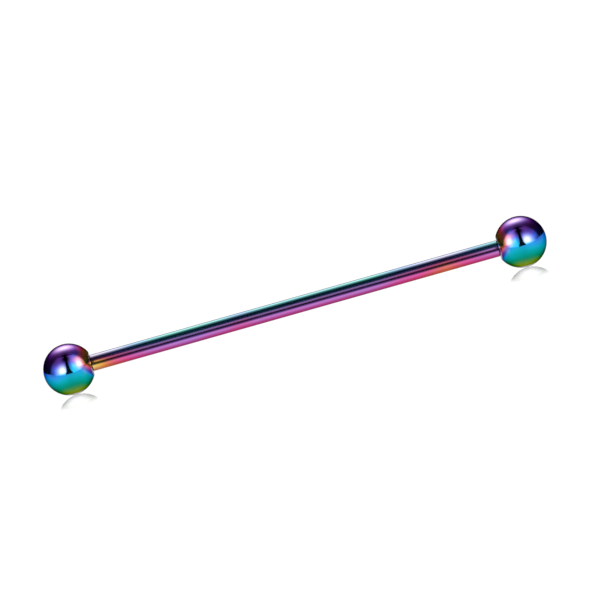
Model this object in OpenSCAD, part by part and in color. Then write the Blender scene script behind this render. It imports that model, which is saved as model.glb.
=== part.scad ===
// Industrial barbell: a long straight bar with a screw-on ball at each end.
// It lies on its two balls, with the bar along X and the floor at Z = 0.

/* [Bar] */
// Thickness of the bar
shank_d = 1.6; // [1.4:0.05:2]
// Distance between the flat faces of the two balls
face_span = 40.6; // [28:0.1:60]
// Bevel round each end of the bar's thick part
shoulder_bevel = 0.06; // [0.02:0.01:0.12]

/* [Thread] */
// Outer diameter of the thread
thread_d = 1.2; // [0.9:0.05:1.3]
// Distance from one thread crest to the next
thread_pitch = 0.25; // [0.2:0.05:0.35]
// Length of the threaded stud, from the shoulder to its tip
stud_length = 2.8; // [2:0.1:3.2]
// Length of the plain neck between the shoulder and the thread
neck_length = 0.3; // [0.15:0.05:0.6]
// Bevel round the tip of the stud
tip_bevel = 0.15; // [0.05:0.01:0.25]

/* [Balls] */
// Diameter of each ball
ball_d = 5; // [4:0.25:8]
// Diameter of the flat that each ball turns to the bar, out to its sharp corner
face_d = 2.3; // [2.1:0.05:2.8]
// Rounding between the flat and the ball
face_edge_r = 0.12; // [0.04:0.01:0.2]
// Countersink at the mouth of the bore
mouth_bevel = 0.1; // [0.04:0.01:0.15]
// Full angle of the drilled point at the bottom of the bore
drill_angle = 118; // [90:1:140]

/* [Fits] */
// Gap between each shoulder of the bar and the face of its ball
seat_gap = 0.02; // [0.01:0.01:0.1]
// Gap between the thread and the wall of the bore, on the radius
thread_gap = 0.02; // [0.01:0.01:0.1]
// Room left in the bore past the tip of the stud
tip_room = 0.2; // [0.1:0.05:0.4]

/* [Hidden] */
$fn = 96;

// Bar
shank_r = shank_d / 2;
shoulder_x = face_span / 2 - seat_gap;

// Thread of 60 degrees, with its crest an eighth of the pitch wide and its root a quarter
crest_r = thread_d / 2;
crest_width = thread_pitch / 8;
root_width = thread_pitch / 4;
flank_width = (thread_pitch - crest_width - root_width) / 2;
root_r = crest_r - flank_width / tan(30);
crest_count = floor((stud_length - neck_length - tip_bevel) / thread_pitch);
thread_x = shoulder_x + neck_length;
tip_x = shoulder_x + stud_length;

// Ball
ball_r = ball_d / 2;
face_r = face_d / 2;
face_depth = sqrt(ball_r * ball_r - face_r * face_r);
ball_x = face_span / 2 + face_depth;
bore_r = crest_r + thread_gap;
bore_depth = tip_x + tip_room - face_span / 2;
drill_point = bore_r / tan(drill_angle / 2);

// Centre of the rounding, and the angles of its two ends seen from there
edge_y = -(face_depth - face_edge_r);
edge_x = sqrt(pow(ball_r - face_edge_r, 2) - edge_y * edge_y);
edge_tangent = atan2(edge_y, edge_x);
edge_reach = 3 * face_edge_r;

// The bar's axis lies one ball radius above the floor
axis_z = ball_r;

// A point of a profile at a radius from the axis, at a distance along it
function at(radius, along) = [radius, along];

// Profile points of one thread crest that starts at the given distance
function crest(start) = [
    at(root_r, start + root_width / 2),
    at(crest_r, start + root_width / 2 + flank_width),
    at(crest_r, start + root_width / 2 + flank_width + crest_width),
    at(root_r, start + thread_pitch - root_width / 2)
];

// Profile points of one end of the bar, from the shank out to the tip
function bar_end() = concat(
    [
        at(shank_r, shoulder_x - shoulder_bevel),
        at(shank_r - shoulder_bevel, shoulder_x),
        at(root_r, shoulder_x),
        at(root_r, thread_x)
    ],
    [for (i = [0:crest_count - 1]) each crest(thread_x + i * thread_pitch)],
    [
        at(root_r, tip_x - tip_bevel),
        at(root_r - tip_bevel, tip_x),
        at(0, tip_x)
    ]
);

// The same points on the other end, in the order that closes the outline
function other_end(points) = [
    for (i = [len(points) - 1:-1:0]) at(points[i].x, -points[i].y)
];

// Turns a profile round the axis and lays it along X at the height of the bar
module turned() {
    translate([0, 0, axis_z])
        rotate([0, 90, 0])
            rotate_extrude()
                children();
}

// Wedge that holds the corner between the flat and the ball, as seen from the rounding's centre
module corner_wedge() {
    translate([edge_x, edge_y])
        polygon([
            [0, 0],
            [0, -edge_reach],
            [edge_reach, -edge_reach],
            edge_reach * [cos(edge_tangent), sin(edge_tangent)]
        ]);
}

// Half outline of a ball with its centre at the origin and its flat facing down
module ball_outline() {
    difference() {
        intersection() {
            circle(r = ball_r);
            translate([0, -face_depth])
                square([2 * ball_r, 3 * ball_r]);
        }
        corner_wedge();
    }
    intersection() {
        translate([edge_x, edge_y])
            circle(r = face_edge_r);
        corner_wedge();
    }
}

// Blind hole with a countersunk mouth and a drilled point
module bore_outline() {
    translate([0, -face_depth])
        polygon([
            at(0, -mouth_bevel),
            at(bore_r + 2 * mouth_bevel, -mouth_bevel),
            at(bore_r, mouth_bevel),
            at(bore_r, bore_depth),
            at(0, bore_depth + drill_point)
        ]);
}

// One ball, moved out along X to the end of the bar
module ball() {
    translate([ball_x, 0, 0])
        turned()
            difference() {
                ball_outline();
                bore_outline();
            }
}

// The bar, with a threaded stud at each end
module bar() {
    color("mediumorchid")
        turned()
            polygon(concat(other_end(bar_end()), bar_end()));
}

// The ball on the left end
module left_ball() {
    color("darkslateblue")
        mirror([1, 0, 0])
            ball();
}

// The ball on the right end
module right_ball() {
    color("teal")
        ball();
}

bar();
left_ball();
right_ball();
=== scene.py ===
"""Looks of the industrial barbell: a rainbow-coated bar with two screw-on balls, in a small light tent."""
import logging
import math
from collections.abc import Callable
from dataclasses import dataclass, field
from enum import Enum

import bmesh
import bpy
import numpy as np
from mathutils import Matrix, Vector


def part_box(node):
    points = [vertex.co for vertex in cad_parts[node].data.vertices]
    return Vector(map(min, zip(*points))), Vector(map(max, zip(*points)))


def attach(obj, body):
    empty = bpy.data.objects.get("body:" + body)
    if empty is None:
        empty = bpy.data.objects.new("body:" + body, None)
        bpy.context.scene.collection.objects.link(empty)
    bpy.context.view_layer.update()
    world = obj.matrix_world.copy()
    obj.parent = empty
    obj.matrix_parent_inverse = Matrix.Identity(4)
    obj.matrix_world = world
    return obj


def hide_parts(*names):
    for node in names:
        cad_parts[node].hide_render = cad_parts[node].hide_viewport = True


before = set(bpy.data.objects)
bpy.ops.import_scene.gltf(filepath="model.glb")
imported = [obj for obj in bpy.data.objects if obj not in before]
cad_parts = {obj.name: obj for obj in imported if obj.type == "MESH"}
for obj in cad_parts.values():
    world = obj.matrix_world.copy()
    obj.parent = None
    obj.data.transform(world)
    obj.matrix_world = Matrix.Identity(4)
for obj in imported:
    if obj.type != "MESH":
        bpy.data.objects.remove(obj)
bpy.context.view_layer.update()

# One millimetre, as every length is in metres
MM = 0.001

# Layers of the mesh that the materials read; the pale layer also holds painted highlights, and the tint
# layer painted shade
FILM_LAYER = "film"
PALE_LAYER = "pale"
TINT_AND_SHADE_LAYER = "tint"
GLOW_LAYER = "glow"

# The direction that is up in the picture, before the camera's roll, for a camera this far above the floor
CAMERA_ELEVATION = math.radians(19.0)
PICTURE_UP = Vector((0.0, math.sin(CAMERA_ELEVATION), math.cos(CAMERA_ELEVATION)))

# Degrees in half a turn, where the curves round the light tent end
HALF_TURN = 180.0

Colour = tuple[float, float, float, float]
WHITE: Colour = (1.0, 1.0, 1.0, 1.0)

# Where a soft step starts and where it ends
Span = tuple[float, float]

# Places in rising order, each with the level there
Curve = tuple[tuple[float, float], ...]

# Distance from the middle of the bar, and what gives the radii of the ring there from its place along X
Ring = tuple[float, Callable[[float], float | np.ndarray]]

log = logging.getLogger("barbell")


class Side(Enum):
    """End of the bar, with the sign of X there."""

    LEFT = -1
    RIGHT = 1

    @property
    def ball(self) -> str:
        """Name of the CAD node and body of the ball on this end."""
        return f"{self.name.lower()}_ball"


def smooth_step(values: np.ndarray, low: float, high: float) -> np.ndarray:
    """Eases values from 0 at low to 1 at high.

    Args:
        values: the numbers to ease.
        low: where the result is 0.
        high: where the result is 1.

    Returns:
        The eased numbers, from 0 to 1.
    """
    part = np.clip((values - low) / (high - low), 0.0, 1.0)
    return part * part * (3.0 - 2.0 * part)


def linear(channel: int) -> float:
    """Turns one 8-bit display channel into linear light.

    Args:
        channel: the display value, 0 to 255.

    Returns:
        The linear value, 0 to 1.
    """
    share = channel / 255.0
    if share <= 0.04045:
        return share / 12.92
    return ((share + 0.055) / 1.055) ** 2.4


@dataclass(frozen=True)
class Tone:
    """Colour as a display shows it, 0 to 255 a channel."""

    red: int
    green: int
    blue: int

    def colour(self) -> Colour:
        """The tone in linear light."""
        return (linear(self.red), linear(self.green), linear(self.blue), 1.0)


class Board:
    """Short way to lay out the nodes of one material or world."""

    # The levels that most of a noise lies between
    NOISE_LOW = 0.3
    NOISE_HIGH = 0.7

    def __init__(self, tree: bpy.types.NodeTree) -> None:
        """Empties the tree and keeps it.

        Args:
            tree: the node tree to fill.
        """
        tree.nodes.clear()
        self.tree = tree

    def add(self, kind: str, **settings: object) -> bpy.types.Node:
        """Adds a node.

        Args:
            kind: the node's type, such as ShaderNodeMath.
            settings: properties to set on it.

        Returns:
            The new node.
        """
        node = self.tree.nodes.new(kind)
        for name, value in settings.items():
            setattr(node, name, value)
        return node

    def feed(self, node: bpy.types.Node, **inputs: object) -> bpy.types.Node:
        """Sets or links inputs of a node.

        Args:
            node: the node to feed.
            inputs: a value, or an output socket of another node, for each input. An input is named with
                underscores for spaces, or by its number after the letter i.

        Returns:
            The same node.
        """
        for name, value in inputs.items():
            numbered = name[0] == "i" and name[1:].isdigit()
            key = int(name[1:]) if numbered else name.replace("_", " ")
            if isinstance(value, bpy.types.NodeSocket):
                self.tree.links.new(value, node.inputs[key])
            else:
                node.inputs[key].default_value = value
        return node

    def math(self, operation: str, first: object, second: object) -> bpy.types.NodeSocket:
        """Adds a math node.

        Args:
            operation: the node's operation.
            first: its first input, a number or a socket.
            second: its second input, a number or a socket.

        Returns:
            The result's socket.
        """
        node = self.feed(self.add("ShaderNodeMath", operation=operation), i0=first, i1=second)
        return node.outputs[0]

    def noise(self, place: bpy.types.NodeSocket, scale: float, detail: float) -> bpy.types.NodeSocket:
        """Adds a noise texture.

        Args:
            place: the socket with the place to read it at.
            scale: grains a metre.
            detail: how many finer layers it has.

        Returns:
            The socket with the noise, about 0 to 1.
        """
        node = self.feed(self.add("ShaderNodeTexNoise"), Vector=place, Scale=scale, Detail=detail)
        return node.outputs["Fac"]

    def stretched(
        self, place: bpy.types.NodeSocket, scale: tuple[float, float, float]
    ) -> bpy.types.NodeSocket:
        """Scales a place along each axis.

        Args:
            place: the socket with the place.
            scale: the factor along X, Y and Z.

        Returns:
            The socket with the scaled place.
        """
        node = self.feed(self.add("ShaderNodeMapping"), Vector=place, Scale=scale)
        return node.outputs["Vector"]

    def ramp(
        self, value: bpy.types.NodeSocket, stops: list[tuple[float, Colour]]
    ) -> bpy.types.NodeSocket:
        """Adds a colour ramp.

        Args:
            value: the socket with the place on the ramp, 0 to 1.
            stops: place and colour of each stop.

        Returns:
            The socket with the colour.
        """
        node = self.feed(self.add("ShaderNodeValToRGB"), Fac=value)
        elements = node.color_ramp.elements
        elements.remove(elements[-1])
        elements[0].position, elements[0].color = stops[0]
        for place, colour in stops[1:]:
            elements.new(place).color = colour
        return node.outputs["Color"]

    def between(self, value: bpy.types.NodeSocket, low: float, high: float) -> bpy.types.NodeSocket:
        """Spreads a noise over a range.

        Args:
            value: the socket with the noise.
            low: the result where the noise is low.
            high: the result where the noise is high.

        Returns:
            The socket with the result.
        """
        node = self.add("ShaderNodeMapRange")
        self.feed(node, Value=value, From_Min=self.NOISE_LOW, From_Max=self.NOISE_HIGH)
        self.feed(node, To_Min=low, To_Max=high)
        return node.outputs["Result"]

    def mesh_layer(self, name: str) -> bpy.types.bpy_prop_collection:
        """Adds a node that reads a layer of the mesh, and gives its outputs."""
        return self.add("ShaderNodeAttribute", attribute_name=name).outputs


@dataclass(frozen=True)
class RainbowFilm:
    """Mirror-polished steel under a thin coating whose colour goes with its thickness, with painted
    highlights and painted shade laid over it.
    """

    name: str
    stops: tuple[tuple[float, Tone], ...]
    # Colour of bare steel, also the white of the painted highlights
    bare_steel_and_highlight: Tone
    rough_low: float
    rough_high: float
    anisotropy: float
    cloud_scale: float
    cloud_depth: float
    grain: tuple[float, float, float]
    grain_scale: float
    grain_height: float
    edge_tint: float
    cloud_detail: float = 2.0
    polish_gain: float = 2.0
    polish_detail: float = 3.0
    grain_detail: float = 2.0
    comb_turn: float = 0.25

    def material(self) -> bpy.types.Material:
        """Makes the material, or finds it if it is made already.

        Returns:
            The material.
        """
        made = bpy.data.materials.get(self.name)
        if made:
            return made
        made = bpy.data.materials.new(self.name)
        made.use_nodes = True
        board = Board(made.node_tree)
        place = board.add("ShaderNodeTexCoord").outputs["Object"]
        coat = self._coat(board, place)
        polish = board.noise(place, self.polish_gain * self.cloud_scale, self.polish_detail)
        steel = board.add("ShaderNodeBsdfPrincipled")
        board.feed(steel, Base_Color=coat, Metallic=1.0, Normal=self._grain(board, place))
        board.feed(steel, Roughness=board.between(polish, self.rough_low, self.rough_high))
        board.feed(steel, Specular_Tint=(self.edge_tint, self.edge_tint, self.edge_tint, 1.0))
        if self.anisotropy:
            tangent = board.add("ShaderNodeTangent", direction_type="RADIAL", axis="X")
            board.feed(steel, Anisotropic=self.anisotropy, Anisotropic_Rotation=self.comb_turn)
            board.feed(steel, Tangent=tangent.outputs["Tangent"])
        board.feed(board.add("ShaderNodeOutputMaterial"), Surface=steel.outputs["BSDF"])
        return made

    def _coat(self, board: Board, place: bpy.types.NodeSocket) -> bpy.types.NodeSocket:
        """Adds the colour of the coating, with its painted highlights and painted shade, from the layers
        that the mesh holds.

        Args:
            board: the material's nodes.
            place: the socket with the place on the object.

        Returns:
            The socket with the colour.
        """
        noise = board.noise(place, self.cloud_scale, self.cloud_detail)
        cloud = board.between(noise, -self.cloud_depth, self.cloud_depth)
        film = board.math("ADD", board.mesh_layer(FILM_LAYER)["Fac"], cloud)
        rainbow = board.ramp(film, [(thickness, tone.colour()) for thickness, tone in self.stops])
        # Pale mixes in bare steel and painted highlights, and the tint layer multiplies in tint and
        # painted shade
        pale = board.mesh_layer(PALE_LAYER)["Fac"]
        mixed = board.add("ShaderNodeMix", data_type="RGBA")
        board.feed(mixed, i0=pale, i6=rainbow, i7=self.bare_steel_and_highlight.colour())
        tint = board.mesh_layer(TINT_AND_SHADE_LAYER)["Vector"]
        coat = board.add("ShaderNodeVectorMath", operation="MULTIPLY")
        return board.feed(coat, i0=mixed.outputs[2], i1=tint).outputs["Vector"]

    def _grain(self, board: Board, place: bpy.types.NodeSocket) -> bpy.types.NodeSocket:
        """Adds the fine marks of polishing, as a bump.

        Args:
            board: the material's nodes.
            place: the socket with the place on the object.

        Returns:
            The socket with the normal.
        """
        grain = board.noise(board.stretched(place, self.grain), self.grain_scale, self.grain_detail)
        bump = board.add("ShaderNodeBump")
        board.feed(bump, Strength=1.0, Distance=self.grain_height, Height=grain)
        return bump.outputs["Normal"]


BALL_FILM = RainbowFilm(
    name="ball_rainbow_film",
    stops=(
        (0.00, Tone(205, 208, 215)),
        (0.05, Tone(228, 212, 150)),
        (0.10, Tone(215, 190, 75)),
        (0.18, Tone(235, 132, 62)),
        (0.26, Tone(225, 76, 98)),
        (0.33, Tone(205, 82, 160)),
        (0.39, Tone(158, 74, 166)),
        (0.43, Tone(124, 62, 180)),
        (0.47, Tone(94, 68, 194)),
        (0.51, Tone(64, 80, 206)),
        (0.60, Tone(46, 155, 238)),
        (0.69, Tone(18, 172, 198)),
        (0.77, Tone(5, 155, 150)),
        (0.83, Tone(12, 134, 104)),
        (0.90, Tone(70, 132, 66)),
        (0.96, Tone(118, 138, 44)),
        (1.00, Tone(138, 118, 60)),
    ),
    # Bare steel, also the white of the painted highlights
    bare_steel_and_highlight=Tone(246, 247, 250),
    rough_low=0.06,
    rough_high=0.1,
    anisotropy=0.0,
    cloud_scale=700.0,
    cloud_depth=0.012,
    grain=(1.0, 1.0, 1.0),
    grain_scale=900.0,
    grain_height=0.02e-6,
    edge_tint=0.25,
)

BAR_FILM = RainbowFilm(
    name="bar_rainbow_film",
    stops=(
        (0.00, Tone(244, 224, 130)),
        (0.06, Tone(246, 195, 82)),
        (0.12, Tone(234, 156, 96)),
        (0.18, Tone(233, 128, 118)),
        (0.24, Tone(231, 108, 150)),
        (0.30, Tone(228, 100, 172)),
        (0.38, Tone(208, 112, 184)),
        (0.46, Tone(193, 132, 214)),
        (0.56, Tone(160, 140, 222)),
        (0.66, Tone(110, 170, 215)),
        (0.76, Tone(120, 215, 198)),
        (1.00, Tone(110, 205, 190)),
    ),
    # Bare steel, also the white of the painted highlights
    bare_steel_and_highlight=Tone(214, 224, 238),
    rough_low=0.07,
    rough_high=0.076,
    anisotropy=0.9,
    cloud_scale=500.0,
    cloud_depth=0.012,
    grain=(40.0, 1.0, 1.0),
    grain_scale=400.0,
    grain_height=0.01e-6,
    edge_tint=0.5,
)


@dataclass(frozen=True)
class Patch:
    """Soft spot of a ball's coating.

    Its place and size are shares of the ball's radius, toward the bar and up in the picture.
    """

    toward: float
    height: float
    wide: float
    tall: float
    amount: float

    def over(self, toward: np.ndarray, height: np.ndarray) -> np.ndarray:
        """The spot's share at each point.

        Args:
            toward: how far each point faces the bar, -1 to 1.
            height: how far each point faces up in the picture, -1 to 1.

        Returns:
            The amount at each.
        """
        across = (toward - self.toward) / self.wide
        upward = (height - self.height) / self.tall
        return self.amount * np.exp(-across * across - upward * upward)


@dataclass(frozen=True)
class Collar:
    """Where a ball's coating starts to thin toward the bar at one height, and how fast it does."""

    height: float
    start: float
    slope: float


@dataclass(frozen=True)
class BallCoating:
    """Coating of a ball, by the way that the surface faces, with painted highlights and painted shade."""

    # Height on the ball as the picture shows it, -1 to 1, and the thickness there
    bands: Curve = (
        (-0.95, 1.0),
        (-0.88, 0.96),
        (-0.78, 0.92),
        (-0.65, 0.83),
        (-0.5, 0.77),
        (-0.4, 0.73),
        (-0.3, 0.69),
        (-0.16, 0.63),
        (0.0, 0.575),
        (0.1, 0.54),
        (0.2, 0.505),
        (0.3, 0.475),
        (0.45, 0.44),
        (0.8, 0.42),
    )
    collars: tuple[Collar, ...] = (
        Collar(-0.7, 0.82, 1.1),
        Collar(-0.5, 0.72, 1.1),
        Collar(-0.35, 0.63, 1.1),
        Collar(-0.25, 0.58, 1.1),
        Collar(-0.16, 0.52, 1.1),
        Collar(-0.08, 0.46, 1.1),
        Collar(0.0, 0.41, 1.2),
        Collar(0.1, 0.35, 1.2),
        Collar(0.2, 0.3, 0.9),
        Collar(0.3, 0.12, 0.41),
        Collar(0.45, 0.45, 0.85),
        Collar(0.6, 0.48, 0.85),
    )
    thinnest: float = 0.09
    film_patches: tuple[Patch, ...] = (
        Patch(-0.6, -0.02, 0.25, 0.12, -0.05),
        Patch(0.18, 0.02, 0.13, 0.17, 0.08),
        Patch(0.38, 0.53, 0.14, 0.1, 0.06),
        Patch(-0.5, -0.25, 0.3, 0.15, -0.04),
        Patch(0.3, -0.3, 0.2, 0.15, 0.02),
    )
    painted_highlight_patches: tuple[Patch, ...] = (
        Patch(-0.2, 0.02, 0.17, 0.18, 0.72),
        Patch(0.49, 0.13, 0.13, 0.17, 0.66),
        Patch(0.35, 0.32, 0.2, 0.15, 0.12),
        Patch(0.62, -0.15, 0.16, 0.12, 0.14),
        Patch(0.03, 0.84, 0.45, 0.12, 0.35),
    )
    painted_shade_patches: tuple[Patch, ...] = (
        Patch(-0.45, 0.42, 0.45, 0.25, -0.72),
        Patch(0.04, 0.42, 0.18, 0.14, -0.85),
        Patch(0.13, 0.08, 0.09, 0.22, -0.4),
        Patch(0.0, -0.35, 0.14, 0.25, -0.12),
        Patch(-0.85, -0.3, 0.3, 0.4, -0.25),
        Patch(0.85, -0.25, 0.2, 0.3, -0.5),
    )
    # Painted highlights show where the ball faces up past the first step, or the bar past the second
    highlight_height: Span = (-0.16, -0.05)
    highlight_toward: Span = (0.48, 0.62)
    # The underside is painted pale for its reflection in the floor, and the rim of the seat pale as a
    # painted glint
    painted_pale_down: Span = (0.74, 0.86)
    seat_toward: Span = (0.84, 0.885)
    seat_out: Span = (0.42, 0.45)
    # The ring round the underside that shows in the floor is painted darker, a painted reflection
    painted_rim_shade: float = 0.62
    rim_down: Span = (0.25, 0.5)
    rim_front: Span = (0.2, 0.9)

    def film(self, toward: np.ndarray, height: np.ndarray) -> np.ndarray:
        """Thickness at each point.

        Args:
            toward: how far each point faces the bar, -1 to 1.
            height: how far each point faces up in the picture, -1 to 1.

        Returns:
            The thickness at each, 0 to 1.
        """
        heights, levels = zip(*self.bands)
        film = np.interp(height, heights, levels)
        for patch in self.film_patches:
            film = film + patch.over(toward, height)
        rows = [collar.height for collar in self.collars]
        start = np.interp(height, rows, [collar.start for collar in self.collars])
        slope = np.interp(height, rows, [collar.slope for collar in self.collars])
        film = film - slope * np.clip(toward - start, 0.0, None)
        return np.clip(film, self.thinnest, 1.0)

    def pale(
        self, toward: np.ndarray, height: np.ndarray, down: np.ndarray, out: np.ndarray
    ) -> np.ndarray:
        """How far the coating is painted pale at each point: painted highlights, a pale underside painted
        for its reflection in the floor, and a pale seat rim painted as a glint.

        Args:
            toward: how far each point faces the bar, -1 to 1.
            height: how far each point faces up in the picture, -1 to 1.
            down: how far each point faces the floor, -1 to 1.
            out: distance of each point from the bar's axis, as a share of the ball's radius.

        Returns:
            The share at each, 0 to 1.
        """
        # Painted highlights at the spots, the underside painted pale for its reflection in the floor, and
        # the seat rim painted pale as a glint
        spots = sum(patch.over(toward, height) for patch in self.painted_highlight_patches)
        shown = np.maximum(smooth_step(height, *self.highlight_height), smooth_step(toward, *self.highlight_toward))
        seat = smooth_step(toward, *self.seat_toward) * smooth_step(out, *self.seat_out)
        return np.clip(spots * shown + smooth_step(down, *self.painted_pale_down) + seat, 0.0, 1.0)

    def tone(
        self, toward: np.ndarray, height: np.ndarray, down: np.ndarray, front: np.ndarray
    ) -> np.ndarray:
        """Painted shade of the coating at each point, where the ball mirrors dark parts of the tent and
        the shaded floor, and in a ring round the underside painted for its reflection in the floor.

        Args:
            toward: how far each point faces the bar, -1 to 1.
            height: how far each point faces up in the picture, -1 to 1.
            down: how far each point faces the floor, -1 to 1.
            front: how far each point faces the camera's image in the floor, -1 to 1.

        Returns:
            The brightness at each, 0 to 1.
        """
        # Painted shade from the spots, times a painted darker ring round the underside
        tone = np.clip(1.0 + sum(patch.over(toward, height) for patch in self.painted_shade_patches), 0.0, 1.0)
        rim = smooth_step(down, *self.rim_down) * (1.0 - smooth_step(front, *self.rim_front))
        return tone * (1.0 - self.painted_rim_shade * rim)


@dataclass(frozen=True)
class BarStretch:
    """Thickness of the coating on the lower side of the bar, at one place along it."""

    place_mm: float
    film: float


@dataclass(frozen=True)
class BarCoating:
    """Coating of the bar, along it and round it, with painted highlights and painted shade."""

    stretches: tuple[BarStretch, ...] = (
        BarStretch(-20.3, 0.0),
        BarStretch(-19.5, 0.06),
        BarStretch(-19.0, 0.12),
        BarStretch(-18.5, 0.18),
        BarStretch(-18.0, 0.23),
        BarStretch(-17.0, 0.3),
        BarStretch(-16.0, 0.37),
        BarStretch(-14.0, 0.44),
        BarStretch(-10.0, 0.47),
        BarStretch(-7.0, 0.44),
        BarStretch(-6.0, 0.38),
        BarStretch(-5.0, 0.37),
        BarStretch(-4.0, 0.43),
        BarStretch(0.0, 0.44),
        BarStretch(8.0, 0.46),
        BarStretch(10.0, 0.38),
        BarStretch(12.0, 0.31),
        BarStretch(13.0, 0.25),
        BarStretch(14.0, 0.21),
        BarStretch(15.0, 0.17),
        BarStretch(16.0, 0.22),
        BarStretch(17.0, 0.29),
        BarStretch(18.0, 0.37),
        BarStretch(20.3, 0.44),
    )
    # The coating is thicker on the upper side, and thinner right below
    upper_gain: float = 0.3
    upper_height: Span = (-0.1, 0.6)
    edge_loss: float = 0.1
    edge_depth: Span = (0.5, 1.0)
    # The top is painted paler, a painted highlight, and darker, a painted shade
    top_painted_highlight: float = 0.5
    top_highlight_height: Span = (0.7, 0.95)
    top_painted_shade: float = 0.5
    top_height: Span = (0.62, 0.8)
    # Above the stretches with a thin coating the steel shows through, but only on the upper side, where
    # the pale is partly a painted highlight
    thin_film: float = 0.46
    thin_range: float = 0.2
    thin_pale: float = 0.75
    thin_height: Span = (0.5, 0.72)
    # A painted dark reflection runs as a blue line a little below the middle
    painted_dark_line: tuple[float, float, float] = (0.08, 0.08, 0.2)
    line_height: Span = (-0.45, -0.21)
    line_depth: Span = (0.08, 0.16)
    # A blue belt runs above the middle, partly tint and partly painted shade
    belt_height: float = 0.47
    belt_spread: float = 0.15
    belt_tint_and_shade: tuple[float, float, float] = (0.1, 0.45, 0.9)
    # The underside is a darker pink, painted shade
    under_painted_shade: tuple[float, float, float] = (0.55, 0.25, 0.4)
    under_depth: Span = (0.3, 0.85)

    def film(self, along: np.ndarray, height: np.ndarray) -> np.ndarray:
        """Thickness at each point.

        Args:
            along: place along the bar, in metres.
            height: how far the surface faces up in the picture, -1 to 1.

        Returns:
            The thickness at each, 0 to 1.
        """
        upper = self.upper_gain * smooth_step(height, *self.upper_height)
        edge = self.edge_loss * smooth_step(-height, *self.edge_depth)
        return np.clip(self._base(along) + upper - edge, 0.0, 1.0)

    def _base(self, along: np.ndarray) -> np.ndarray:
        """Thickness on the lower side of the bar, at places along it in metres."""
        places = [stretch.place_mm * MM for stretch in self.stretches]
        return np.interp(along, places, [stretch.film for stretch in self.stretches])

    def pale(self, along: np.ndarray, height: np.ndarray) -> np.ndarray:
        """How far the coating is painted pale at each point: bare steel above thin stretches, partly a
        painted highlight, and a painted highlight on the top.

        Args:
            along: place along the bar, in metres.
            height: how far the surface faces up in the picture, -1 to 1.

        Returns:
            The share at each, 0 to 1.
        """
        thin = np.clip((self.thin_film - self._base(along)) / self.thin_range, 0.0, 1.0)
        top = self.top_painted_highlight * smooth_step(height, *self.top_highlight_height)
        return np.maximum(top, self.thin_pale * thin * smooth_step(height, *self.thin_height))

    def tint(self, height: np.ndarray) -> np.ndarray:
        """Tint and painted shade that the coating's colour is multiplied by at each point.

        Args:
            height: how far the surface faces up in the picture, -1 to 1.

        Returns:
            The colour at each, one a row.
        """
        # Painted shade under the bar, a partly painted blue belt, a painted dark line and a painted darker
        # top
        under = smooth_step(-height, *self.under_depth)
        top = smooth_step(height, *self.top_height)
        line = smooth_step(height, *self.line_height) * smooth_step(-height, *self.line_depth)
        off = (height - self.belt_height) / self.belt_spread
        belt = np.exp(-off * off)
        layers = (
            (under, self.under_painted_shade),
            (belt, self.belt_tint_and_shade),
            (line, self.painted_dark_line),
            (top, self.top_painted_shade),
        )
        tint = np.ones((len(height), 3))
        for share, colour in layers:
            tint = tint * (1.0 - share[:, None] * (1.0 - np.array(colour)))
        return tint


@dataclass(frozen=True)
class Thread:
    """Screw thread that the bar's studs and the balls' bores share."""

    pitch: float = 0.25 * MM
    crest_r: float = 0.6 * MM
    crest_share: float = 1 / 8
    root_share: float = 1 / 4
    flank_angle: float = math.radians(30.0)
    # Rings of the mesh to one turn of the thread
    rows: int = 14

    @property
    def flank(self) -> float:
        """Width of one flank of the thread along the bar, as a share of the pitch."""
        return (1.0 - self.crest_share - self.root_share) / 2.0

    @property
    def root_r(self) -> float:
        """Radius at the bottom of the thread."""
        return self.crest_r - self.flank * self.pitch / math.tan(self.flank_angle)

    def radius(self, along: float, angles: np.ndarray, start: float, end: float) -> np.ndarray:
        """Radius of the stud round one ring.

        Args:
            along: the ring's place along X.
            angles: the angle of each point of the ring.
            start: distance from the middle of the bar where the thread begins.
            end: distance from the middle of the bar where the thread ends.

        Returns:
            The radius at each angle.
        """
        phase = along / self.pitch - angles / math.tau
        off_crest = np.abs(phase - np.round(phase))
        crest = self.crest_share / 2.0
        height = 1.0 - smooth_step(off_crest, crest, crest + self.flank)
        reach = abs(along)
        fade = min(1.0, max(0.0, min(reach - start, end - reach) / self.pitch))
        return self.root_r + (self.crest_r - self.root_r) * height * fade

    def places(self, start: float, end: float) -> np.ndarray:
        """Places along X for the rings of a thread, ends included."""
        return np.linspace(start, end, max(2, round(abs(end - start) / self.pitch * self.rows)))


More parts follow.
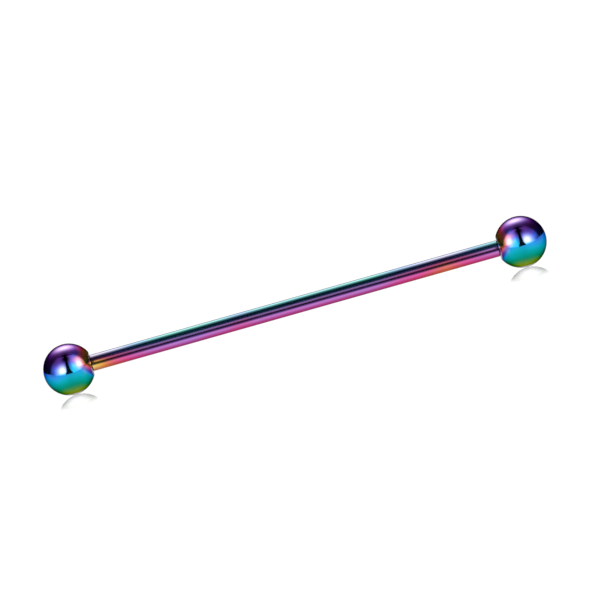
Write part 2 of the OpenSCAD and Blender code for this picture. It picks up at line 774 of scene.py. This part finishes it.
@dataclass
class Lathe:
    """Rings round the bar's axis that become one closed mesh."""

    name: str
    axis_z: float
    segments: int
    sharp_angle: float = math.radians(28.0)
    places: list[float] = field(default_factory=list)
    radii: list[np.ndarray] = field(default_factory=list)

    @property
    def angles(self) -> np.ndarray:
        """Angle of each point of a ring, from the top round the axis."""
        return np.arange(self.segments) * (math.tau / self.segments)

    def ring(self, along: float, radius: float | np.ndarray) -> None:
        """Adds the next ring.

        Args:
            along: its place along X.
            radius: its radius, one number or one for each angle.
        """
        self.places.append(along)
        self.radii.append(np.broadcast_to(radius, (self.segments,)))

    def build(self, first_pole: float, last_pole: float) -> bpy.types.Object:
        """Joins the rings and closes both ends.

        Args:
            first_pole: place along X of the point that closes the first ring.
            last_pole: place along X of the point that closes the last ring.

        Returns:
            The new object, with its normals outward.
        """
        points = self._points(first_pole, last_pole)
        mesh = bpy.data.meshes.new(self.name)
        mesh.from_pydata(points.tolist(), [], self._faces())
        shape = bmesh.new()
        shape.from_mesh(mesh)
        bmesh.ops.recalc_face_normals(shape, faces=shape.faces)
        shape.to_mesh(mesh)
        shape.free()
        mesh.shade_smooth()
        mesh.set_sharp_from_angle(angle=self.sharp_angle)
        made = bpy.data.objects.new(self.name, mesh)
        bpy.context.scene.collection.objects.link(made)
        return made

    def _points(self, first_pole: float, last_pole: float) -> np.ndarray:
        """Corner points of all rings, with the two poles at the end.

        Args:
            first_pole: place along X of the first pole.
            last_pole: place along X of the last pole.

        Returns:
            One point a row.
        """
        radii = np.array(self.radii)
        along = np.repeat(np.array(self.places), self.segments)
        across = (radii * np.sin(self.angles)).ravel()
        upward = (radii * np.cos(self.angles)).ravel() + self.axis_z
        poles = [[first_pole, 0.0, self.axis_z], [last_pole, 0.0, self.axis_z]]
        return np.concatenate([np.stack([along, across, upward], 1), poles])

    def _faces(self) -> list[tuple[int, ...]]:
        """Joins the points into four-sided faces, and closes each end with a fan.

        Returns:
            The point numbers of every face.
        """
        count, turns = self.segments, len(self.places)
        first, last = count * turns, count * turns + 1
        faces: list[tuple[int, ...]] = []
        for here in range(count):
            there = (here + 1) % count
            faces.append((first, there, here))
            for turn in range(turns - 1):
                low, high = turn * count, (turn + 1) * count
                faces.append((low + here, low + there, high + there, high + here))
            end = (turns - 1) * count
            faces.append((last, end + here, end + there))
        return faces


def coordinates(piece: bpy.types.Object) -> np.ndarray:
    """Reads the points of a mesh.

    Args:
        piece: the object with the mesh.

    Returns:
        One point a row.
    """
    flat = np.zeros(3 * len(piece.data.vertices))
    piece.data.vertices.foreach_get("co", flat)
    return flat.reshape(-1, 3)


def write_layer(piece: bpy.types.Object, layer: str, values: np.ndarray) -> None:
    """Stores one number or one vector for each point of a mesh.

    Args:
        piece: the object with the mesh.
        layer: name of the layer that a material reads.
        values: the numbers, or the vectors as rows.
    """
    if values.ndim == 1:
        stored = piece.data.attributes.new(layer, "FLOAT", "POINT")
        stored.data.foreach_set("value", values.astype(np.float32))
    else:
        stored = piece.data.attributes.new(layer, "FLOAT_VECTOR", "POINT")
        stored.data.foreach_set("vector", values.astype(np.float32).ravel())


@dataclass
class ScrewBall:
    """Ball with a flat seat, a rounded edge round it and a tapped blind bore."""

    side: Side
    thread: Thread
    radius: float = field(init=False)
    axis_z: float = field(init=False)
    face_x: float = field(init=False)
    centre_x: float = field(init=False)
    edge_r: float = 0.12 * MM
    mouth_bevel: float = 0.1 * MM
    mouth_depth: float = 0.2 * MM
    thread_gap: float = 0.02 * MM
    bore_depth: float = 2.98 * MM
    drill_angle: float = math.radians(118.0)
    segments: int = 192
    sphere_rows: int = 96
    edge_rows: int = 8
    coating: BallCoating = BallCoating()

    def __post_init__(self) -> None:
        """Takes the ball's size and place from its CAD node."""
        low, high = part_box(self.side.ball)
        self.radius = (high.z - low.z) / 2.0
        self.axis_z = (high.z + low.z) / 2.0
        self.face_x, end_x = sorted((abs(low.x), abs(high.x)))
        self.centre_x = end_x - self.radius

    def build(self) -> bpy.types.Object:
        """Makes the ball from the bottom of its bore out to its far pole.

        Returns:
            The finished piece.
        """
        lathe = Lathe(f"{self.side.ball}_coated", self.axis_z, self.segments)
        self._bore(lathe)
        self._seat_and_edge(lathe)
        bore_end = self.face_x + self.bore_depth
        point = (self.thread.root_r + self.thread_gap) / math.tan(self.drill_angle / 2.0)
        sign = self.side.value
        piece = lathe.build(sign * (bore_end + point), sign * (self.centre_x + self.radius))
        self._coat(piece)
        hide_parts(self.side.ball)
        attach(piece, self.side.ball)
        return piece

    def _bore(self, lathe: Lathe) -> None:
        """Adds the rings of the bore, from its bottom to its mouth.

        Args:
            lathe: takes the rings.
        """
        sign = self.side.value
        start = self.face_x + self.mouth_depth
        end = self.face_x + self.bore_depth
        for reach in self.thread.places(end, start):
            along = sign * reach
            lathe.ring(along, self.thread.radius(along, lathe.angles, start, end) + self.thread_gap)
        lathe.ring(sign * self.face_x, self.thread.crest_r + self.thread_gap + self.mouth_bevel)

    def _seat_and_edge(self, lathe: Lathe) -> None:
        """Adds the flat seat, its rounded edge and the sphere.

        Args:
            lathe: takes the rings.
        """
        sign = self.side.value
        depth = self.centre_x - self.face_x
        edge_depth = depth - self.edge_r
        edge_out = math.sqrt((self.radius - self.edge_r) ** 2 - edge_depth ** 2)
        turn_end = math.atan2(edge_out, edge_depth)
        for turn in np.linspace(0.0, turn_end, self.edge_rows):
            along = self.centre_x - edge_depth - self.edge_r * math.cos(turn)
            lathe.ring(sign * along, edge_out + self.edge_r * math.sin(turn))
        for turn in np.linspace(turn_end, math.pi, self.sphere_rows)[1:-1]:
            along = self.centre_x - self.radius * math.cos(turn)
            lathe.ring(sign * along, self.radius * math.sin(turn))

    def _coat(self, piece: bpy.types.Object) -> None:
        """Writes the coating's layers and gives the ball its material.

        Args:
            piece: the ball.
        """
        centre = np.array([self.side.value * self.centre_x, 0.0, self.axis_z])
        facing = (coordinates(piece) - centre) / self.radius
        toward = -self.side.value * facing[:, 0]
        height = facing @ np.array(PICTURE_UP)
        down = -facing[:, 2]
        front = down * PICTURE_UP.y - facing[:, 1] * PICTURE_UP.z
        out = np.hypot(facing[:, 1], facing[:, 2])
        # The pale layer holds painted highlights and the tint layer the painted shade of the tone
        tone = self.coating.tone(toward, height, down, front)
        write_layer(piece, FILM_LAYER, self.coating.film(toward, height))
        write_layer(piece, PALE_LAYER, self.coating.pale(toward, height, down, out))
        write_layer(piece, TINT_AND_SHADE_LAYER, np.repeat(tone[:, None], 3, 1))
        piece.data.materials.append(BALL_FILM.material())


@dataclass
class ThreadedBar:
    """Straight round bar with a shoulder, a plain neck and a threaded stud at each end."""

    thread: Thread
    radius: float = field(init=False)
    axis_z: float = field(init=False)
    tip_x: float = field(init=False)
    shoulder_x: float = field(init=False)
    seat_gap: float = 0.02 * MM
    shoulder_bevel: float = 0.06 * MM
    neck_length: float = 0.3 * MM
    tip_bevel: float = 0.15 * MM
    segments: int = 128
    shank_row: float = 0.25 * MM
    coating: BarCoating = BarCoating()

    def __post_init__(self) -> None:
        """Takes the bar's size and place from its CAD node and the balls' seats."""
        low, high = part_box("bar")
        self.radius = (high.z - low.z) / 2.0
        self.axis_z = (high.z + low.z) / 2.0
        self.tip_x = high.x
        self.shoulder_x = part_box(Side.RIGHT.ball)[0].x - self.seat_gap

    def build(self) -> bpy.types.Object:
        """Makes the bar from its left tip to its right tip.

        Returns:
            The finished piece.
        """
        lathe = Lathe("bar_coated", self.axis_z, self.segments)
        stud = self._stud(lathe.angles)
        for reach, radius in reversed(stud):
            lathe.ring(-reach, radius(-reach))
        shank_end = self.shoulder_x - self.shoulder_bevel
        rows = round(2.0 * shank_end / self.shank_row)
        for along in np.linspace(-shank_end, shank_end, rows):
            lathe.ring(along, self.radius)
        for reach, radius in stud:
            lathe.ring(reach, radius(reach))
        piece = lathe.build(-self.tip_x, self.tip_x)
        self._coat(piece)
        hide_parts("bar")
        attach(piece, "bar")
        return piece

    def _stud(self, angles: np.ndarray) -> list[Ring]:
        """Rings of one end of the bar, from the shoulder's bevel out to the tip.

        Args:
            angles: the angle of each point of a ring.

        Returns:
            The rings in order.
        """
        root = self.thread.root_r
        thread_x = self.shoulder_x + self.neck_length
        thread_end = self.tip_x - self.tip_bevel
        rings: list[Ring] = [
            (self.shoulder_x, lambda along: self.radius - self.shoulder_bevel),
            (self.shoulder_x, lambda along: root),
        ]

        def threaded(along: float) -> np.ndarray:
            """Radii of the thread at a place along X."""
            return self.thread.radius(along, angles, thread_x, thread_end)

        rings.extend((reach, threaded) for reach in self.thread.places(thread_x, thread_end))
        rings.append((self.tip_x, lambda along: root - self.tip_bevel))
        return rings

    def _coat(self, piece: bpy.types.Object) -> None:
        """Writes the coating's layers and gives the bar its material.

        Args:
            piece: the bar.
        """
        points = coordinates(piece)
        facing = (points - np.array([0.0, 0.0, self.axis_z])) / self.radius
        height = facing[:, 1] * PICTURE_UP.y + facing[:, 2] * PICTURE_UP.z
        # The pale and tint layers also hold painted highlights and painted shade
        write_layer(piece, FILM_LAYER, self.coating.film(points[:, 0], height))
        write_layer(piece, PALE_LAYER, self.coating.pale(points[:, 0], height))
        write_layer(piece, TINT_AND_SHADE_LAYER, self.coating.tint(height))
        piece.data.materials.append(BAR_FILM.material())


@dataclass(frozen=True)
class LightTent:
    """Brightness of the light tent, as the steel mirrors it.

    A direction has a share along the bar, 0 to 1, and a turn round it in degrees: 0 is the horizon in
    front, 90 is straight up and 180 is the horizon behind.
    """

    wall_glow: float = 1.8
    # Brightness of the walls at each share
    along: Curve = (
        (0.0, 0.35),
        (0.2, 0.75),
        (0.28, 1.0),
        (0.65, 1.0),
        (0.8, 0.96),
        (0.88, 0.82),
        (0.95, 0.52),
        (0.985, 0.28),
        (1.0, 0.22),
    )
    # Brightness of the walls at each turn
    around: Curve = (
        (0, 1.0),
        (20, 1.0),
        (35, 1.0),
        (47, 1.0),
        (62, 0.85),
        (76, 0.82),
        (86, 0.55),
        (96, 0.11),
        (121, 0.06),
        (147, 0.04),
        (167, 0.008),
        (180, 0.02),
    )
    # Half width of the dark gap between the two walls, at each turn
    gap: Curve = (
        (0, 0.31),
        (6, 0.27),
        (13, 0.2),
        (20, 0.165),
        (37, 0.14),
        (66, 0.105),
        (80, 0.1),
        (84, 0.15),
        (87, 0.45),
        (90, 0.45),
        (93, 0.0),
        (180, 0.0),
    )
    gap_edge: float = 0.035
    lamp_turn: float = 141.0
    lamp_glow: float = 3.25
    lamp_spread: float = math.radians(16.2)
    dark: float = 0.012

    def glow(self, board: Board) -> bpy.types.NodeSocket:
        """Adds the nodes that give the brightness in each direction.

        Args:
            board: the world's nodes.

        Returns:
            The socket with the brightness.
        """
        way = board.add("ShaderNodeTexCoord").outputs["Generated"]
        parts = board.feed(board.add("ShaderNodeSeparateXYZ"), Vector=way).outputs
        share = board.math("ABSOLUTE", parts["X"], 0.0)
        front = board.math("MULTIPLY", parts["Y"], -1.0)
        turn = board.math("DIVIDE", board.math("ARCTAN2", parts["Z"], front), math.pi)
        wall = board.math("MULTIPLY", self._curve(board, share, self.along, 1.0), self.wall_glow)
        wall = board.math("MULTIPLY", wall, self._curve(board, turn, self.around, HALF_TURN))
        half = self._curve(board, turn, self.gap, HALF_TURN)
        inner = board.math("SUBTRACT", half, self.gap_edge)
        opened = board.add("ShaderNodeMapRange", interpolation_type="SMOOTHSTEP")
        board.feed(opened, Value=share, From_Min=inner, From_Max=half)
        wall = board.math("MULTIPLY", wall, opened.outputs["Result"])
        return board.math("ADD", board.math("ADD", wall, self._lamp(board, way)), self.dark)

    def _curve(
        self, board: Board, value: bpy.types.NodeSocket, points: Curve, whole: float
    ) -> bpy.types.NodeSocket:
        """Adds a curve from 0 to 1 through a few points.

        Args:
            board: the world's nodes.
            value: the socket with the place on the curve, 0 to 1.
            points: place and level of each point.
            whole: the place in the points that stands for 1.

        Returns:
            The socket with the level.
        """
        stops = [(place / whole, (level, level, level, 1.0)) for place, level in points]
        return board.ramp(value, stops)

    def _lamp(self, board: Board, way: bpy.types.NodeSocket) -> bpy.types.NodeSocket:
        """Adds the soft round light above and behind the barbell.

        Args:
            board: the world's nodes.
            way: the socket with the direction.

        Returns:
            The socket with the light's brightness.
        """
        turn = math.radians(self.lamp_turn)
        middle = (0.0, -math.cos(turn), math.sin(turn))
        near = board.feed(board.add("ShaderNodeVectorMath", operation="DOT_PRODUCT"), i0=way, i1=middle)
        off = board.math("SUBTRACT", near.outputs["Value"], 1.0)
        level = board.math("EXPONENT", board.math("DIVIDE", off, self.lamp_spread ** 2), 0.0)
        return board.math("MULTIPLY", level, self.lamp_glow)


@dataclass(frozen=True)
class FloorFinish:
    """Matt white that mirrors what stands close to each ball's place at rest, for the camera only."""

    ball_x: float
    white: float = 0.9
    glow: float = 0.95
    mirror_share: float = 0.62
    mirror_start: float = 1.8 * MM
    mirror_end: float = 4.1 * MM

    def material(self) -> bpy.types.Material:
        """Makes the material.

        Returns:
            The new material.
        """
        made = bpy.data.materials.new("floor_white")
        made.use_nodes = True
        board = Board(made.node_tree)
        matt = board.add("ShaderNodeBsdfPrincipled")
        white = (self.white, self.white, self.white, 1.0)
        board.feed(matt, Base_Color=white, Roughness=1.0, Specular_IOR_Level=0.0)
        board.feed(matt, Emission_Color=WHITE, Emission_Strength=self.glow)
        mirror = board.feed(board.add("ShaderNodeBsdfGlossy"), Color=WHITE, Roughness=0.0)
        share = board.add("ShaderNodeMapRange", interpolation_type="SMOOTHSTEP")
        board.feed(share, Value=self._from_ball(board), To_Min=self.mirror_share, To_Max=0.0)
        board.feed(share, From_Min=self.mirror_start, From_Max=self.mirror_end)
        seen = board.add("ShaderNodeLightPath").outputs["Is Camera Ray"]
        part = board.math("MULTIPLY", share.outputs["Result"], seen)
        mixed = board.add("ShaderNodeMixShader")
        board.feed(mixed, i0=part, i1=matt.outputs["BSDF"], i2=mirror.outputs["BSDF"])
        board.feed(board.add("ShaderNodeOutputMaterial"), Surface=mixed.outputs["Shader"])
        return made

    def _from_ball(self, board: Board) -> bpy.types.NodeSocket:
        """Adds the distance on the floor from the nearer ball.

        Args:
            board: the floor's nodes.

        Returns:
            The socket with the distance.
        """
        place = board.add("ShaderNodeTexCoord").outputs["Object"]
        parts = board.feed(board.add("ShaderNodeSeparateXYZ"), Vector=place).outputs
        along = board.math("SUBTRACT", board.math("ABSOLUTE", parts["X"], 0.0), self.ball_x)
        flat = board.feed(board.add("ShaderNodeCombineXYZ"), X=along, Y=parts["Y"]).outputs["Vector"]
        return board.feed(board.add("ShaderNodeVectorMath", operation="LENGTH"), i0=flat).outputs["Value"]


class Backing(Enum):
    """What a card does with the light from behind it."""

    STOPS_LIGHT = "stops light"
    LETS_LIGHT_THROUGH = "lets light through"


@dataclass(frozen=True)
class CardFinish:
    """Light of a card, as bright at each point as its mesh says."""

    name: str
    backing: Backing

    def material(self) -> bpy.types.Material:
        """Makes the material.

        Returns:
            The new material.
        """
        made = bpy.data.materials.new(self.name)
        made.use_nodes = True
        made.cycles.emission_sampling = "NONE"
        board = Board(made.node_tree)
        level = board.mesh_layer(GLOW_LAYER)["Fac"]
        light = board.feed(board.add("ShaderNodeEmission"), Strength=level).outputs["Emission"]
        if self.backing is Backing.LETS_LIGHT_THROUGH:
            through = board.add("ShaderNodeBsdfTransparent").outputs["BSDF"]
            light = board.feed(board.add("ShaderNodeAddShader"), i0=light, i1=through).outputs["Shader"]
        board.feed(board.add("ShaderNodeOutputMaterial"), Surface=light)
        return made


@dataclass
class Studio:
    """White floor that mirrors the balls where they rest, and the light round it."""

    axis_z: float
    ball_x: float
    bar_half: float
    tent: LightTent = LightTent()
    floor_half: float = 3.0
    floor_drop: float = 0.15 * MM
    sky: float = 0.1
    shade_start: float = 14 * MM
    shade_end: float = 1.0
    shade_drop: float = 0.12 * MM
    strip_away: float = 7 * MM
    # Turns round the bar, in degrees above the horizon in front
    strip_middle: float = 31.0
    strip_reach: float = 25.0
    strip_spread: float = 11.0
    strip_rows: int = 40
    strip_columns: int = 60
    strip_glow: float = 0.48
    strip_end: float = 2.5 * MM
    strip_end_gain: float = 0.6

    def build(self) -> None:
        """Makes the floor, the cards and the world."""
        self._floor()
        self._shade()
        self._strip()
        self._world()

    def _sheet(
        self, name: str, grid: np.ndarray, finish: FloorFinish | CardFinish
    ) -> bpy.types.Object:
        """Makes one sheet of the studio.

        Args:
            name: the sheet's name.
            grid: its points, as rows of columns.
            finish: gives its material.

        Returns:
            The new object.
        """
        rows, columns = grid.shape[:2]
        corners = (0, 1, columns + 1, columns)
        firsts = [row * columns + column for row in range(rows - 1) for column in range(columns - 1)]
        faces = [tuple(first + corner for corner in corners) for first in firsts]
        mesh = bpy.data.meshes.new(name)
        mesh.from_pydata(grid.reshape(-1, 3).tolist(), [], faces)
        mesh.materials.append(finish.material())
        sheet = bpy.data.objects.new(name, mesh)
        bpy.context.scene.collection.objects.link(sheet)
        return sheet

    def _card(self, grid: np.ndarray, glow: np.ndarray, finish: CardFinish) -> None:
        """Makes one card that only shows in reflections.

        Args:
            grid: its points, as rows of columns.
            glow: brightness at each point.
            finish: gives its name and material.
        """
        card = self._sheet(finish.name, grid, finish)
        write_layer(card, GLOW_LAYER, glow.ravel())
        card.visible_camera = False
        card.visible_diffuse = False
        card.visible_shadow = False

    def _floor(self) -> None:
        """Makes the floor, which lies a little under the surface that the balls rest on."""
        ends = (-self.floor_half, self.floor_half)
        grid = np.array([[(x, y, -self.floor_drop) for x in ends] for y in ends])
        self._sheet("floor", grid, FloorFinish(self.ball_x))

    def _shade(self) -> None:
        """Makes the dark card that lies on the floor behind the barbell."""
        xs = (-self.shade_end, self.shade_end)
        ys = (self.shade_start, self.shade_end)
        grid = np.array([[(x, y, -self.shade_drop) for x in xs] for y in ys])
        self._card(grid, np.zeros((2, 2)), CardFinish("floor_shade", Backing.STOPS_LIGHT))

    def _strip(self) -> None:
        """Makes the faint strip light close in front of the bar."""
        low = self.strip_middle - self.strip_reach
        high = self.strip_middle + self.strip_reach
        rows = np.linspace(low, high, self.strip_rows)
        columns = np.linspace(-self.bar_half, self.bar_half, self.strip_columns)
        turns, xs = np.meshgrid(rows, columns, indexing="ij")
        off = (turns - self.strip_middle) / self.strip_spread
        near_end = smooth_step(np.abs(xs), self.bar_half - self.strip_end, self.bar_half)
        glow = self.strip_glow * np.exp(-off * off) * (1.0 + self.strip_end_gain * near_end)
        ys = -self.strip_away * np.cos(np.radians(turns))
        zs = self.axis_z + self.strip_away * np.sin(np.radians(turns))
        finish = CardFinish("front_strip", Backing.LETS_LIGHT_THROUGH)
        self._card(np.stack([xs, ys, zs], -1), glow, finish)

    def _world(self) -> None:
        """Makes surroundings that are white to look at, and show the tent in the steel."""
        world = bpy.data.worlds.new("surroundings")
        bpy.context.scene.world = world
        world.use_nodes = True
        world.cycles.sampling_method = "NONE"
        board = Board(world.node_tree)
        ray = board.add("ShaderNodeLightPath").outputs
        seen = board.math("ADD", ray["Is Camera Ray"], ray["Is Singular Ray"])
        lit = board.math("MULTIPLY", ray["Is Diffuse Ray"], self.sky)
        plain = board.math("MINIMUM", board.math("ADD", seen, lit), 1.0)
        mirrored = board.math("SUBTRACT", 1.0, board.math("MAXIMUM", ray["Is Diffuse Ray"], seen))
        mirrored = board.math("MAXIMUM", mirrored, 0.0)
        level = board.math("ADD", plain, board.math("MULTIPLY", mirrored, self.tent.glow(board)))
        light = board.feed(board.add("ShaderNodeBackground"), Color=WHITE, Strength=level)
        board.feed(board.add("ShaderNodeOutputWorld"), Surface=light.outputs["Background"])


@dataclass
class PhotoCamera:
    """Long lens at the photograph's angle, rolled as the bar leans in the picture."""

    roll: float = math.radians(15.78)
    # Side of the picture, pixels to a millimetre, and place of the bar's middle in the picture
    picture_px: int = 600
    scale_px: float = 10.42
    middle_px: tuple[float, float] = (294.92, 305.66)
    lens_mm: float = 250.0
    sensor_mm: float = 36.0
    sees_from: float = 10 * MM
    sees_to: float = 10.0

    def place(self, target: Vector) -> None:
        """Makes the camera and sets it as the scene's.

        Args:
            target: the middle of the bar.
        """
        data = bpy.data.cameras.new("photo_camera")
        data.lens = self.lens_mm
        data.sensor_width = self.sensor_mm
        data.clip_start = self.sees_from
        data.clip_end = self.sees_to
        camera = bpy.data.objects.new("photo_camera", data)
        bpy.context.scene.collection.objects.link(camera)
        right = Vector((math.cos(self.roll), 0.0, 0.0)) - PICTURE_UP * math.sin(self.roll)
        up = Vector((math.sin(self.roll), 0.0, 0.0)) + PICTURE_UP * math.cos(self.roll)
        back = right.cross(up)
        width = self.picture_px / self.scale_px * MM
        half = self.picture_px / 2.0
        aim = target + right * ((half - self.middle_px[0]) / self.scale_px * MM)
        aim = aim + up * ((self.middle_px[1] - half) / self.scale_px * MM)
        place = aim + back * (width * self.lens_mm / self.sensor_mm)
        turn = Matrix((right, up, back)).transposed().to_4x4()
        camera.matrix_world = Matrix.Translation(place) @ turn
        bpy.context.scene.camera = camera


def report(piece: bpy.types.Object) -> None:
    """Logs the name and face count of a finished piece."""
    log.info("%s: %d faces", piece.name, len(piece.data.polygons))


def main() -> None:
    """Builds the bar, the balls, the studio and the camera."""
    logging.basicConfig(level=logging.INFO, format="%(name)s %(message)s")
    bpy.context.scene.view_settings.view_transform = "Standard"
    thread = Thread()
    bar = ThreadedBar(thread)
    balls = [ScrewBall(side, thread) for side in Side]
    for part in (bar, *balls):
        report(part.build())
    Studio(bar.axis_z, balls[-1].centre_x, bar.shoulder_x).build()
    PhotoCamera().place(Vector((0.0, 0.0, bar.axis_z)))


if __name__ == "__main__":
    main()
